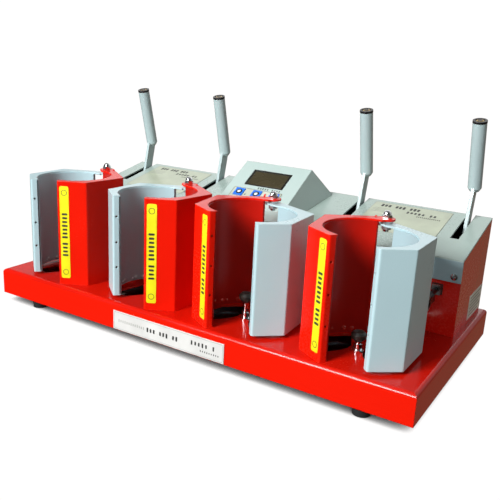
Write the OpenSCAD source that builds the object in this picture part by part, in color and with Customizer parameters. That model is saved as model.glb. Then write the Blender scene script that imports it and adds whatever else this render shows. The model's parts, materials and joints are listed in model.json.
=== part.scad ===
// Four-station mug heat press. Every station has a fixed half shell on the base and a second half
// shell hinged to it at the back, closed by its own hand lever through a push rod.
// Millimetres, +Z up, front towards -Y, origin under the middle of the machine on the ground.

/* [Base] */
// Width of the folded base tray
base_w = 560; // [552:1:590]
// Height of the tray above its feet
base_h = 33; // [31:1:36]
// Height of the rubber feet below the tray
foot_h = 10; // [8:0.5:12]
// Diameter of a rubber foot
foot_d = 20; // [16:1:22]

/* [Housing] */
// Width of the rear housing
housing_w = 540; // [534:1:548]
// Height of the cover above the base at its front edge
cover_front_h = 88; // [86:0.5:92]
// Rise of the cover from front to back
cover_rise = 26; // [22:1:30]
// Drop of the bent front lip of the cover
lip_h = 25.5; // [20:0.5:26]
// Width of the lever slots
slot_w = 9.5; // [8:0.5:12]

/* [Stations] */
// Distance of the inner stations from the middle
inner_x = 60; // [58.5:0.5:62]
// Distance of the outer stations from the middle
outer_x = 196; // [194:0.5:197]
// Inside radius of the clamp, half the diameter of the mug it holds
clamp_r = 42; // [40:0.5:42.5]
// Height of a clamp from the base
clamp_h = 130; // [120:1:140]
// Angle a clamp stands open
open_deg = 9.5; // [9:0.1:10]
// How much further the clamp of the third station stands open
open_more = 2.4; // [0:0.1:2.5]
// How much less the clamp of the fourth station stands open
open_less = 1.2; // [0:0.1:1.2]
// Height to which the mug rest of the third station is screwed up
rest_up = 9.4; // [0:0.1:16]

/* [Levers] */
// Length of the cylindrical grip
grip_len = 78; // [70:1:90]
// Diameter of the grip
grip_d = 16; // [14:0.5:18]
// Backward lean of the lever bar at rest
lever_back = 13; // [12:0.5:13.5]

/* [Hidden] */
$fn = 64;
sheet = 2;
deep = 135;                    // half of the overall depth
plate_t = 0.8;                 // name plate thickness
tray_front = -deep + plate_t;
tray_z = foot_h;
top_z = foot_h + base_h;       // working surface of the base
bend_r = 5;
hinge_y = -25.5;
mug_y = -55;                   // clamp axis in front of the hinge axis
hole_r = clamp_r + 1;          // cut-out in the clamp flanges
hinge_pin_r = 3;
fit = 0.05;
fixed_top = top_z + clamp_h;
moving_low = top_z + 3.8;
moving_top = fixed_top - 5;
hinge_gap = 0.2;
// corners of a half shell seen from above, hinge axis at the origin
corner_front = [-17.3, -104];
corner_side = [-48, -86.5];
corner_back = [-56.5, -30.5];
tongue_r = 9;
tongue_end = [-3.4, 6.4];
wall_end = [-21, -4.4];
sheet_bend = 1.6;              // bend radius of the shell sheet, to its middle
clamp_axis = [0, mug_y];
front_arc = 17.2;              // liner starts this far from straight ahead
fixed_arc = 173.4;             // and ends here
moving_arc = 165.2;
// housing and cover
front_y = 16.5;
rear_y = 133;
cover_z0 = top_z + cover_front_h;
cover_tilt = atan(cover_rise / (rear_y - front_y));
screw_x = housing_w / 2 - 7.5;
slot_y = 64;
// push rods and levers
arm = 49.7;                    // hinge axis to rod pin
rod_r = 3;
lever_swing = 38;
pivot_y = 101.4;
pivot_z = top_z + 40.7;
bar_t = 4;
bar_w = 14;
bar_len = 112;
grip_lean = 14.8;
cheek_gap = 5.2;
yoke_back = 14;
shaft_r = 3;
// control unit
unit_top = [92, top_z + 147];
unit_slope = 31;
unit_half = 49;
unit_flare = 16;
unit_depth = 45.4;
unit_front_y = 19;
unit_rear_y = 125;
window_w = 57;
window_h = 31.5;
window_u = 30.5;               // window centre down the sloping face
key_u = 62;
key_step = 25.1;
key_mid = -1.4;                // middle key, off the centre of the face
key_size = 13;
key_lift = 1.4;
// mug rests
stud_r = 3;
knob_d = 16;
knob_low = top_z + 11;
rest_at = [2.8, -53.4];        // stud of the mug rest, seen from the hinge
// leads of the fixed mats, from under the shell through the base opening and back below the tray
lead_r = 2;
lead_route = [[-44, -72, top_z - 9], [-39, -70, top_z - 4], [-33, -65, top_z - 0.5],
              [-27, -57, top_z + 0.5], [-23, -47, top_z - 1], [-20, -36, top_z - 6],
              [-19, -22, top_z - 12], [-18, 0, top_z - 16], [-18, 30, top_z - 16]];
// leads of the moving mats: off the back wall of the closed shell, then across to the housing
shell_end = [[34.3, -13.5, top_z + 22], [38, -8.6, top_z + 22], [41, -4.3, top_z + 22.5]];
housing_end = [[42, 9, top_z + 24], [42, 17, top_z + 28], [41.5, 26, top_z + 33],
               [41, 35, top_z + 36.5], [41, 44, top_z + 38], [41, 53, top_z + 37.5],
               [41, 64, top_z + 35]];

function cover_z(y) = cover_z0 + (y - front_y) * cover_rise / (rear_y - front_y);
function toward(p, d) = p + (clamp_axis - p) * d / norm(clamp_axis - p);
function on_ring(r, a) = clamp_axis + r * [-sin(a), -cos(a)];
function station_x(i) = i == 1 ? -outer_x : i == 2 ? -inner_x : i == 3 ? inner_x : outer_x;
// opening angle of a station and what its linkage takes from it
function open_of(i) = open_deg + (i == 3 ? open_more : i == 4 ? -open_less : 0);
function rod_x(i) = arm * cos(open_of(i) / 2);
function rod_travel(i) = 2 * arm * sin(open_of(i) / 2);
function rod_y(i) = hinge_y + rod_travel(i) / 2;
function crank_r(i) = rod_travel(i) / (2 * sin(lever_swing / 2));
function crank_y(i) = pivot_y + rod_travel(i) / 2;
function rod_z(i) = pivot_z + crank_r(i) * (1 + cos(lever_swing / 2)) / 2;

// Moves a part drawn for a right-hand station, hinge axis at the origin, to station i.
module at_station(i) {
  translate([station_x(i), hinge_y, 0])
    mirror([i < 3 ? 1 : 0, 0, 0])
      children();
}

// Moves a part drawn with x = 0 in the lever plane to the lever of station i.
module at_lever(i) {
  side = i < 3 ? -1 : 1;
  translate([station_x(i) + side * rod_x(i), 0, 0]) children();
}

// Moves a part drawn on the moving half, in its closed place, to where it stands open.
module opened(i) {
  rotate([0, 0, open_of(i)]) children();
}

// Points along one side of a bent sheet: the path of its middle, shifted by off to the left, with
// the bends rounded in five steps.
function left(a, b) = [a[1] - b[1], b[0] - a[0]] / norm(b - a);
function turned(v, w) = [v[0] * cos(w) - v[1] * sin(w), v[0] * sin(w) + v[1] * cos(w)];
function bend(a, b, c, off) =
  let (n = left(a, b),
       m = left(b, c),
       turn = atan2(n[0] * m[1] - n[1] * m[0], n * m),
       side = sign(turn),
       start = b - (b - a) / norm(b - a) * sheet_bend * tan(abs(turn) / 2),
       centre = start + side * n * sheet_bend)
  [for (k = [0 : 5]) centre + (off - side * sheet_bend) * turned(n, turn * k / 5)];
function side_line(p, off) = [
  p[0] + off * left(p[0], p[1]),
  for (k = [1 : len(p) - 2]) each bend(p[k - 1], p[k], p[k + 1], off),
  p[len(p) - 1] + off * left(p[len(p) - 2], p[len(p) - 1])];
function backwards(p) = [for (k = [len(p) - 1 : -1 : 0]) p[k]];

// Horizontal flange of a half shell with its hinge tongue.
module flange(low, path) {
  translate([0, 0, low])
    linear_extrude(sheet)
      difference() {
        union() {
          polygon(concat([clamp_axis], side_line(path, sheet / 2), [[0, 0]]));
          circle(r = tongue_r);
        }
        translate(clamp_axis) circle(r = hole_r);
        circle(r = hinge_pin_r + fit);
      }
}

// Folded half shell, left of the hinge, its wall running from the front strip to the back strip.
module half_shell(low, high, last_arc) {
  strip_in = on_ring(clamp_r + 2.4, front_arc);
  a = toward(corner_front, 1.1);
  b = toward(corner_side, 1.1);
  c = toward(corner_back, 1.1);
  e = toward(wall_end, 1.1);
  back_in = on_ring(clamp_r + 2.4, last_arc);
  wall = [strip_in, a, b, c, e, back_in];
  flange(low, [strip_in, a, b, c, tongue_end]);
  flange(high - sheet, [strip_in, a, b, c, tongue_end]);
  difference() {
    translate([0, 0, low + sheet / 2])
      linear_extrude(high - low - sheet)
        polygon(concat(side_line(wall, sheet / 2), backwards(side_line(wall, -sheet / 2))));
    // fixing holes of the liner in the front strip
    for (h = [0.29, 0.54, 0.795])
      translate([(strip_in[0] + a[0]) / 2, (strip_in[1] + a[1]) / 2, low + h * (high - low)])
        rotate([0, 0, atan2(a[1] - strip_in[1], a[0] - strip_in[0])])
          rotate([90, 0, 0])
            cylinder(r = 1.3, h = 2 * sheet, center = true, $fn = 24);
  }
}

// Curved wall round the clamp axis, left half, from arc a0 to arc a1 off straight ahead.
module curved_wall(r0, r1, a0, a1, low, high) {
  translate([clamp_axis[0], clamp_axis[1], low])
    rotate([0, 0, -90 - a1])
      rotate_extrude(angle = a1 - a0, $fn = 128)
        translate([r0, 0])
          square([r1 - r0, high - low]);
}

module fixed_shell(i) {
  color([0.86, 0.09, 0.03])
    at_station(i) {
      half_shell(top_z, fixed_top, fixed_arc);
      // end of a spot-welded stud on the flange beside the hinge
      translate([-12, 0, fixed_top]) cylinder(r = 1.1, h = 1.1);
    }
}

module moving_shell(i) {
  ear = 3;
  ear_gap = 9;
  pin_a = open_of(i) / 2;
  pin = arm * [cos(pin_a), -sin(pin_a)];
  color([0.72, 0.78, 0.78])
    at_station(i) opened(i) {
      mirror([1, 0, 0]) half_shell(moving_low, moving_top, moving_arc);
      // clevis behind the back wall that takes the push rod
      for (z = [rod_z(i) - ear_gap / 2 - ear, rod_z(i) + ear_gap / 2])
        translate([0, 0, z])
          linear_extrude(ear)
            difference() {
              union() {
                translate(pin) circle(r = 6);
                polygon([[pin[0] - 6, pin[1]], [pin[0] + 6, pin[1]], [55.2, -30.6], [41.2, -20.2]]);
              }
              translate(pin) circle(r = 2.5);
            }
      translate([pin[0], pin[1], rod_z(i) - ear_gap / 2 - ear - 1])
        cylinder(r = 2.5, h = ear_gap + 2 * ear + 2);
      for (z = [rod_z(i) - ear_gap / 2 - ear - 2, rod_z(i) + ear_gap / 2 + ear])
        translate([pin[0], pin[1], z]) cylinder(r = 4, h = 2);
    }
}

// Curved inner walls of the four fixed half shells.
module fixed_liners() {
  color([0.75, 0.07, 0.03])
    for (i = [1 : 4])
      at_station(i)
        curved_wall(clamp_r, clamp_r + 1.5, front_arc, fixed_arc, top_z + sheet,
                    fixed_top - sheet);
}

module moving_liner(i) {
  color([0.75, 0.8, 0.8])
    at_station(i) opened(i) mirror([1, 0, 0])
      curved_wall(clamp_r, clamp_r + 1.5, front_arc, moving_arc, moving_low + sheet,
                  moving_top - sheet);
}

// Silicone heater mats between liner and shell.
module fixed_heaters() {
  color([0.8, 0.35, 0.1])
    for (i = [1 : 4])
      at_station(i)
        curved_wall(clamp_r + 1.55, clamp_r + 3.5, front_arc + 9, fixed_arc - 12, top_z + 10,
                    fixed_top - 10);
}

// Lead swept through a list of points, eight-sided, none of its runs along X.
module lead(points, r) {
  sides = 8;
  last = len(points) - 1;
  rings = [for (k = [0 : last])
    let (run = points[min(k + 1, last)] - points[max(k - 1, 0)],
         across = cross(run, [1, 0, 0]),
         side = across / norm(across),
         other = cross(side, run) / norm(run))
    for (a = [0 : sides - 1])
      points[k] + r * (cos(a * 360 / sides) * side + sin(a * 360 / sides) * other)];
  walls = [for (k = [0 : last - 1], a = [0 : sides - 1])
    let (next = (a + 1) % sides)
    [k * sides + a, k * sides + next, (k + 1) * sides + next, (k + 1) * sides + a]];
  start = [for (a = [0 : sides - 1]) sides - 1 - a];
  end = [for (a = [0 : sides - 1]) last * sides + a];
  polyhedron(rings, concat([start], walls, [end]));
}

// Black leads of the fixed heater mats, up through the base openings.
module heater_leads() {
  color([0.05, 0.05, 0.05])
    for (i = [1 : 4])
      at_station(i) lead(lead_route, lead_r);
}

// Black leads of the moving heater mats, from the shells to the housing.
module shell_leads() {
  color([0.05, 0.05, 0.05])
    for (i = [1 : 4])
      at_station(i)
        lead(concat([for (p = shell_end) [each turned(p, open_of(i)), p[2]]], housing_end), lead_r);
}

module moving_heater(i) {
  color([0.8, 0.35, 0.1])
    at_station(i) opened(i) mirror([1, 0, 0])
      curved_wall(clamp_r + 1.55, clamp_r + 3.5, front_arc + 9, moving_arc - 12, moving_low + 8,
                  moving_top - 8);
}

// Dome-headed bolts in the top and bottom hinge of every station.
module hinge_bolts() {
  color([0.8, 0.8, 0.82])
    for (i = [1 : 4])
      at_station(i) {
        translate([0, 0, moving_top - sheet - 7]) cylinder(r = hinge_pin_r, h = sheet * 2 + 10.5);
        translate([0, 0, fixed_top]) cylinder(d = 11, h = 4, $fn = 6);
        translate([0, 0, fixed_top + 4])
          intersection() {
            sphere(r = 4.4);
            translate([0, 0, 5]) cube(10, center = true);
          }
        translate([0, 0, top_z - sheet - 5]) cylinder(d = 11, h = 4, $fn = 6);
        translate([0, 0, top_z - sheet - 2]) cylinder(r = hinge_pin_r, h = sheet * 2 + 13.5);
      }
}

// Spacer washers and lock nuts of the hinges.
module hinge_nuts() {
  module ring(low, high, d, n) {
    translate([0, 0, low])
      difference() {
        cylinder(d = d, h = high - low, $fn = n);
        translate([0, 0, -1]) cylinder(r = hinge_pin_r + 0.02, h = high - low + 2, $fn = 64);
      }
  }
  color([0.78, 0.78, 0.8])
    for (i = [1 : 4])
      at_station(i) {
        ring(moving_top + hinge_gap, fixed_top - sheet, 12, 64);
        ring(moving_top - sheet - hinge_gap - 4.5, moving_top - sheet - hinge_gap, 11, 6);
        ring(top_z + sheet, moving_low - hinge_gap, 12, 64);
        ring(moving_low + sheet + hinge_gap, moving_low + sheet + hinge_gap + 4.5, 11, 6);
      }
}

// Block with rounded top edges.
module tray_block(x0, x1, y0, y1, low, high, r) {
  module round_top(a0, a1) {
    translate([a0, low]) square([a1 - a0, high - low - r]);
    translate([a0 + r, low]) square([a1 - a0 - 2 * r, high - low]);
    for (a = [a0 + r, a1 - r]) translate([a, high - r]) circle(r = r);
  }
  intersection() {
    translate([0, y1, 0]) rotate([90, 0, 0]) linear_extrude(y1 - y0) round_top(x0, x1);
    translate([x0, 0, 0]) rotate([90, 0, 90]) linear_extrude(x1 - x0) round_top(y0, y1);
  }
}

module base_tray() {
  w = base_w / 2;
  color([0.8, 0.08, 0.03])
    difference() {
      tray_block(-w, w, tray_front, deep, tray_z, top_z, bend_r);
      tray_block(-w + sheet, w - sheet, tray_front + sheet, deep - sheet, tray_z - 1,
                 top_z - sheet, bend_r - sheet);
      for (i = [1 : 4])
        at_station(i) {
          // cable openings on both sides of the mug rest
          for (m = [0, 1])
            mirror([m, 0, 0])
              translate([0, 0, top_z - 2 * sheet])
                linear_extrude(3 * sheet)
                  polygon([[-47, -74], [-36, -84], [-28, -84], [-12, -62], [-8.5, -53], [-8, -44],
                           [-19, -17], [-40, -36]]);
          translate([rest_at[0], rest_at[1], top_z - 2 * sheet]) cylinder(r = 4, h = 3 * sheet);
          translate([0, 0, top_z - 2 * sheet]) cylinder(r = hinge_pin_r + 0.02, h = 3 * sheet);
        }
    }
}

module base_plate() {
  w = base_w / 2 - sheet - 0.3;
  color([0.25, 0.25, 0.26])
    difference() {
      translate([-w, tray_front + sheet + 0.3, tray_z + 1])
        cube([2 * w, deep - tray_front - 2 * sheet - 0.6, 1.5]);
      // rows of cooling slots
      for (x = [-150 : 50 : 150], y = [-60, 60])
        translate([x - 2, y - 20, tray_z]) cube([4, 40, 4]);
      for (x = [-225, 225], y = [-121, 121])
        translate([x, y, tray_z]) cylinder(r = 2.6, h = 4);
    }
}

module rubber_feet() {
  color([0.06, 0.06, 0.07])
    for (x = [-225, 225], y = [-121, 121])
      translate([x, y, 0]) {
        cylinder(d1 = foot_d - 1.5, d2 = foot_d, h = tray_z + 1);
        cylinder(r = 2.5, h = tray_z + 4.5);
        translate([0, 0, tray_z + 2.5]) cylinder(r = 4.5, h = 2);
      }
}

// Side view of the housing below the cover sheet.
module housing_profile(y0, y1, low, drop) {
  polygon([[y0, low], [y1, low], [y1, cover_z(y1) - drop], [y0, cover_z(y0) - drop]]);
}

module housing() {
  w = housing_w / 2;
  y0 = front_y + sheet;
  drop = sheet / cos(cover_tilt);
  color([0.8, 0.08, 0.03])
    difference() {
      translate([-w, 0, 0]) rotate([90, 0, 90]) linear_extrude(2 * w)
        housing_profile(y0, rear_y, top_z, drop);
      translate([-w + sheet, 0, 0]) rotate([90, 0, 90]) linear_extrude(2 * w - 2 * sheet)
        housing_profile(y0 + sheet, rear_y - sheet, top_z - 1, -20);
      for (i = [1 : 4]) at_lever(i) {
        translate([0, y0, rod_z(i)]) cube([12.4, 4 * sheet, 12.4], center = true);
        translate([-slot_w / 2, rear_y - 2 * sheet, cover_z(rear_y) - 16])
          cube([slot_w, 4 * sheet, 30]);
      }
      // holes of the leads that run to the moving shells
      for (i = [1 : 4]) at_station(i)
        translate([housing_end[4][0], housing_end[4][1], housing_end[4][2]])
          rotate([90, 0, 0]) cylinder(r = lead_r + 1.2, h = 6 * sheet, center = true);
      // openings for the power inlet and the mains switch
      translate([-200, rear_y, top_z + 42]) cube([27.4, 4 * sheet, 20.4], center = true);
      translate([-160, rear_y, top_z + 42]) cube([19.4, 4 * sheet, 13.4], center = true);
      for (x = [-screw_x, -88, 88, screw_x])
        translate([x, y0 - 1, cover_z0 - 19]) rotate([-90, 0, 0]) cylinder(r = 2, h = 4);
    }
}

module top_cover() {
  w = housing_w / 2;
  drop = sheet / cos(cover_tilt);
  color([0.76, 0.8, 0.78])
    difference() {
      translate([-w, 0, 0]) rotate([90, 0, 90]) linear_extrude(2 * w)
        polygon([[front_y, cover_z0 - lip_h], [front_y + sheet, cover_z0 - lip_h],
                 [front_y + sheet, cover_z(front_y + sheet) - drop], [rear_y, cover_z(rear_y) - drop],
                 [rear_y, cover_z(rear_y)], [front_y + 1, cover_z0], [front_y, cover_z0 - 1.5]]);
      for (i = [1 : 4]) at_lever(i)
        translate([-slot_w / 2, slot_y, cover_z0]) cube([slot_w, rear_y, 60]);
      for (x = [-screw_x, -88, 88, screw_x])
        translate([x, front_y - 1, cover_z0 - 19]) rotate([-90, 0, 0]) cylinder(r = 2, h = 4);
      // wiring hole under the control unit
      translate([0, 70, cover_z(70)]) cylinder(r = 12, h = 20, center = true);
    }
}

module cover_screws() {
  color([0.82, 0.82, 0.84])
    for (x = [-screw_x, -88, 88, screw_x])
      translate([x, front_y, cover_z0 - 19]) rotate([90, 0, 0]) {
        difference() {
          intersection() {
            cylinder(r = 3.8, h = 2.4);
            translate([0, 0, -3.6]) sphere(r = 6);
          }
          for (a = [0, 90])
            rotate([0, 0, a]) translate([-2.2, -0.4, 1.2]) cube([4.4, 0.8, 3]);
        }
        translate([0, 0, -7]) cylinder(r = 1.98, h = 7.2);
      }
}

// Sloping face frame: u runs down the face, x to the right, z out of the face.
module on_face() {
  translate([0, unit_top[0], unit_top[1]])
    rotate([unit_slope, 0, 0])
      children();
}

module unit_solid(inset) {
  w = unit_half + unit_flare + 10;
  s = unit_slope;
  face_y = unit_front_y + inset;
  run = unit_top[0] - face_y;
  intersection() {
    translate([-w, 0, 0]) rotate([90, 0, 90]) linear_extrude(2 * w)
      polygon([[face_y, cover_z(face_y) - (inset > 0 ? 1 : 0)],
               [unit_rear_y - inset, cover_z(unit_rear_y) - (inset > 0 ? 1 : 0)],
               [unit_top[0], unit_top[1] - inset * 1.6],
               [face_y, unit_top[1] - inset * 1.6 - run * tan(s)]]);
    on_face()
      rotate([90, 0, 0])
        linear_extrude(260, center = true)
          polygon([[-unit_half + inset, 5], [unit_half - inset, 5], [unit_half - inset, 0],
                   [unit_half + 2 * unit_flare - inset, -2 * unit_depth],
                   [-unit_half - 2 * unit_flare + inset, -2 * unit_depth],
                   [-unit_half + inset, 0]]);
  }
}

module control_box() {
  color([0.68, 0.73, 0.72])
    difference() {
      unit_solid(0);
      unit_solid(2.2);
      on_face() {
        translate([0, -window_u, 0]) cube([window_w, window_h, 12], center = true);
        for (k = [-1, 0, 1])
          translate([key_mid + k * key_step, -key_u, 0])
            cube([key_size + 0.8, key_size + 0.8, 12], center = true);
      }
    }
}

module display_window() {
  color([0.25, 0.24, 0.16])
    on_face()
      translate([0, -window_u, -1.2]) {
        cube([window_w - 0.2, window_h - 0.2, 1.6], center = true);
        translate([0, 0, -2.85]) cube([window_w + 6, window_h + 5, 1.5], center = true);
        translate([0, 0, -1.3]) cube([window_w - 1, window_h - 1, 2.4], center = true);
      }
}

module keypad_panel() {
  color([0.82, 0.84, 0.78])
    on_face()
      difference() {
        translate([-38.3, -key_u - 11, 0]) cube([71.3, 19.8, 0.5]);
        for (k = [-1, 0, 1])
          translate([key_mid + k * key_step, -key_u, 0])
            cube([key_size + 0.8, key_size + 0.8, 4], center = true);
      }
}

module key(k) {
  color([0.12, 0.45, 0.85])
    on_face()
      translate([key_mid + k * key_step, -key_u, 0]) {
        translate([-key_size / 2, -key_size / 2, -1.4]) cube([key_size, key_size, 1.4 + key_lift]);
        translate([0, 0, -3.4]) cylinder(r = 3, h = 2.2);
      }
}

module button_down() { key(-1); }
module button_up() { key(0); }
module button_start() { key(1); }

// Circuit board under the sloping face of the control unit.
module controller_board() {
  color([0.08, 0.35, 0.15])
    on_face() {
      translate([-42, -82, -9.5]) cube([84, 70, 1.6]);
      translate([-38, -78, -13.5]) cube([30, 20, 4.1]);
      for (k = [-1, 0, 1])
        translate([key_mid + k * key_step - 3, -key_u - 3, -8]) cube([6, 6, 2.6]);
    }
}

module name_plate() {
  color([0.92, 0.92, 0.92])
    translate([-84.5, -deep, tray_z + 0.8]) cube([156.5, plate_t, 23]);
}

module power_inlet() {
  color([0.07, 0.07, 0.08])
    translate([-200, rear_y, top_z + 42])
      difference() {
        union() {
          translate([-13.5, -22, -10]) cube([27, 22, 20]);
          translate([-24, 0, -12]) cube([48, 1.8, 24]);
        }
        translate([-11, -16, -7.5]) cube([22, 20, 15]);
        for (x = [-19, 19]) translate([x, -1, 0]) rotate([-90, 0, 0]) cylinder(r = 1.6, h = 4);
      }
}

module switch_frame() {
  color([0.06, 0.06, 0.07])
    translate([-160, rear_y, top_z + 42])
      difference() {
        union() {
          translate([-9.5, -14, -6.5]) cube([19, 14, 13]);
          translate([-11, 0, -8]) cube([22, 1.2, 16]);
        }
        translate([-7.5, -11, -5.4]) cube([15, 14, 10.8]);
      }
}

module switch_rocker() {
  color([0.7, 0.05, 0.05])
    translate([-160, rear_y, top_z + 42])
      intersection() {
        translate([0, -4, 0]) rotate([90, 0, 90]) cylinder(r = 5.6, h = 14.4, center = true);
        translate([-7.2, -10, -4.6]) cube([14.4, 11.4, 9.2]);
      }
}

// Square blocks in the front panel of the housing that guide the push rods, flanged behind it.
module rod_guides() {
  color([0.78, 0.78, 0.74])
    for (i = [1 : 4]) at_lever(i) translate([0, 0, rod_z(i)])
      difference() {
        union() {
          translate([-4.9, front_y - 3, -5.5]) cube([9.8, 30, 11]);
          translate([-11, front_y + 2 * sheet + 0.1, -9.5]) cube([22, 4, 19]);
        }
        translate([0, front_y - 8, 0]) rotate([-90, 0, 0]) cylinder(r = rod_r + fit, h = 42);
      }
}

module push_rod(i) {
  color([0.75, 0.75, 0.76])
    at_lever(i) {
      // flattened eye at the shell end, its hole long enough for the swing of the pin
      difference() {
        translate([-7, rod_y(i) - 7, rod_z(i) - 4]) cube([14, 17, 8]);
        translate([-0.5, rod_y(i), rod_z(i) - 5]) cylinder(r = 2.6, h = 10);
        translate([0.5, rod_y(i), rod_z(i) - 5]) cylinder(r = 2.6, h = 10);
        translate([-0.5, rod_y(i) - 2.6, rod_z(i) - 5]) cube([1, 5.2, 10]);
      }
      translate([0, rod_y(i) + 9, rod_z(i)]) rotate([-90, 0, 0])
        cylinder(r = rod_r, h = crank_y(i) - yoke_back - rod_y(i) - 12);
      // yoke round the lever bar
      difference() {
        translate([-6.6, crank_y(i) - yoke_back - 8, rod_z(i) - 5.6]) cube([13.2, yoke_back + 14, 11.6]);
        translate([-cheek_gap / 2, crank_y(i) - yoke_back, rod_z(i) - 8])
          cube([cheek_gap, yoke_back + 10, 16]);
        for (z = [-1, 1])
          translate([0, crank_y(i), rod_z(i) + z]) rotate([90, 0, 90])
            cylinder(r = 3.05, h = 20, center = true);
        translate([-10, crank_y(i) - 3.05, rod_z(i) - 1]) cube([20, 6.1, 2]);
      }
    }
}

module lever(i) {
  grip_foot = bar_len * [sin(lever_back), cos(lever_back)];
  color([0.68, 0.75, 0.76])
    at_lever(i) translate([0, pivot_y, pivot_z]) {
      // flat bar with its pivot boss
      difference() {
        union() {
          rotate([-lever_back, 0, 0]) translate([-bar_t / 2, -bar_w / 2, 0])
            cube([bar_t, bar_w, bar_len]);
          rotate([0, 90, 0]) cylinder(d = bar_w, h = bar_t, center = true);
          rotate([0, 90, 0]) cylinder(r = 4.4, h = 19.4, center = true);
        }
        rotate([0, 90, 0]) cylinder(r = shaft_r + fit, h = 30, center = true);
      }
      // crank pin that drives the yoke
      rotate([-lever_swing / 2, 0, 0]) translate([0, 0, crank_r(i)]) rotate([0, 90, 0])
        cylinder(r = 3, h = 16, center = true);
      // grip bent forward
      translate([0, grip_foot[0], grip_foot[1]]) rotate([grip_lean, 0, 0]) {
        translate([0, 0, -2]) cylinder(d = grip_d, h = grip_len + 2);
        translate([0, 0, -6]) cylinder(d1 = grip_d - 5, d2 = grip_d, h = 4);
      }
    }
}

module grip_cap(i) {
  grip_foot = bar_len * [sin(lever_back), cos(lever_back)];
  color([0.08, 0.08, 0.09])
    at_lever(i) translate([0, pivot_y + grip_foot[0], pivot_z + grip_foot[1]])
      rotate([grip_lean, 0, 0]) translate([0, 0, grip_len]) {
        difference() {
          cylinder(d = grip_d + 0.4, h = 2.6);
          translate([0, 0, 1.8]) cylinder(d = grip_d - 5, h = 2);
        }
        translate([0, 0, 1]) cylinder(d = 5, h = 1.6);
      }
}

// Bent brackets inside the housing that carry the lever shafts.
module lever_brackets() {
  color([0.55, 0.56, 0.58])
    for (i = [1 : 4]) at_lever(i)
      difference() {
        union() {
          for (x = [-13, 10])
            translate([x, pivot_y - 14, top_z]) cube([3, 28, pivot_z - top_z + 7]);
          translate([-13, pivot_y - 14, top_z]) cube([26, 28, 3]);
        }
        translate([0, pivot_y, pivot_z]) rotate([0, 90, 0])
          cylinder(r = shaft_r + 0.02, h = 40, center = true);
      }
}

module lever_shafts() {
  color([0.8, 0.8, 0.82])
    for (i = [1 : 4]) at_lever(i)
      translate([0, pivot_y, pivot_z]) rotate([0, 90, 0]) {
        cylinder(r = shaft_r, h = 29, center = true);
        translate([0, 0, -16]) cylinder(r = 5, h = 3);
        translate([0, 0, 13]) cylinder(r = 5, h = 3);
      }
}

// Flanged sleeve nuts in the base that hold the studs of the mug rests.
module rest_nuts() {
  color([0.8, 0.8, 0.82])
    for (i = [1 : 4])
      at_station(i) translate(rest_at)
        difference() {
          union() {
            translate([0, 0, top_z]) cylinder(r = 6.5, h = 2.4);
            translate([0, 0, top_z]) cylinder(r = 4.3, h = 8.5);
            translate([0, 0, top_z - sheet - 0.5]) cylinder(r = 3.9, h = 4);
            translate([0, 0, top_z - sheet - 4.5]) cylinder(d = 13, h = 4.5, $fn = 6);
          }
          translate([0, 0, top_z - 12]) cylinder(r = stud_r + fit, h = 30);
        }
}

// Height-adjustable mug rest: soft knob with a dished top on its stud.
module mug_rest(i) {
  up = i == 3 ? rest_up : 0;
  color([0.1, 0.08, 0.07])
    at_station(i) translate([rest_at[0], rest_at[1], up]) {
      translate([0, 0, knob_low - 38]) cylinder(r = stud_r, h = 40);
      translate([0, 0, knob_low])
        difference() {
          union() {
            cylinder(d1 = knob_d - 8, d2 = knob_d, h = 4);
            translate([0, 0, 4]) cylinder(d = knob_d, h = 4);
            translate([0, 0, 8]) cylinder(d1 = knob_d, d2 = knob_d - 5, h = 2.6);
          }
          translate([0, 0, 10.6 + 8]) sphere(r = 9.3);
        }
    }
}

base_tray();
base_plate();
rubber_feet();
name_plate();
housing();
top_cover();
cover_screws();
control_box();
display_window();
keypad_panel();
button_down();
button_up();
button_start();
controller_board();
power_inlet();
switch_frame();
switch_rocker();
fixed_liners();
fixed_heaters();
heater_leads();
shell_leads();
hinge_bolts();
hinge_nuts();
rod_guides();
lever_brackets();
lever_shafts();
rest_nuts();
fixed_shell(1);  // fixed_shell_1
fixed_shell(2);  // fixed_shell_2
fixed_shell(3);  // fixed_shell_3
fixed_shell(4);  // fixed_shell_4
moving_shell(1);  // moving_shell_1
moving_shell(2);  // moving_shell_2
moving_shell(3);  // moving_shell_3
moving_shell(4);  // moving_shell_4
moving_liner(1);  // moving_liner_1
moving_liner(2);  // moving_liner_2
moving_liner(3);  // moving_liner_3
moving_liner(4);  // moving_liner_4
moving_heater(1);  // moving_heater_1
moving_heater(2);  // moving_heater_2
moving_heater(3);  // moving_heater_3
moving_heater(4);  // moving_heater_4
push_rod(1);  // push_rod_1
push_rod(2);  // push_rod_2
push_rod(3);  // push_rod_3
push_rod(4);  // push_rod_4
lever(1);  // lever_1
lever(2);  // lever_2
lever(3);  // lever_3
lever(4);  // lever_4
grip_cap(1);  // grip_cap_1
grip_cap(2);  // grip_cap_2
grip_cap(3);  // grip_cap_3
grip_cap(4);  // grip_cap_4
mug_rest(1);  // mug_rest_1
mug_rest(2);  // mug_rest_2
mug_rest(3);  // mug_rest_3
mug_rest(4);  // mug_rest_4
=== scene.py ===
import json
import math

import bmesh
import bpy
from mathutils import Matrix, Vector


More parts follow.
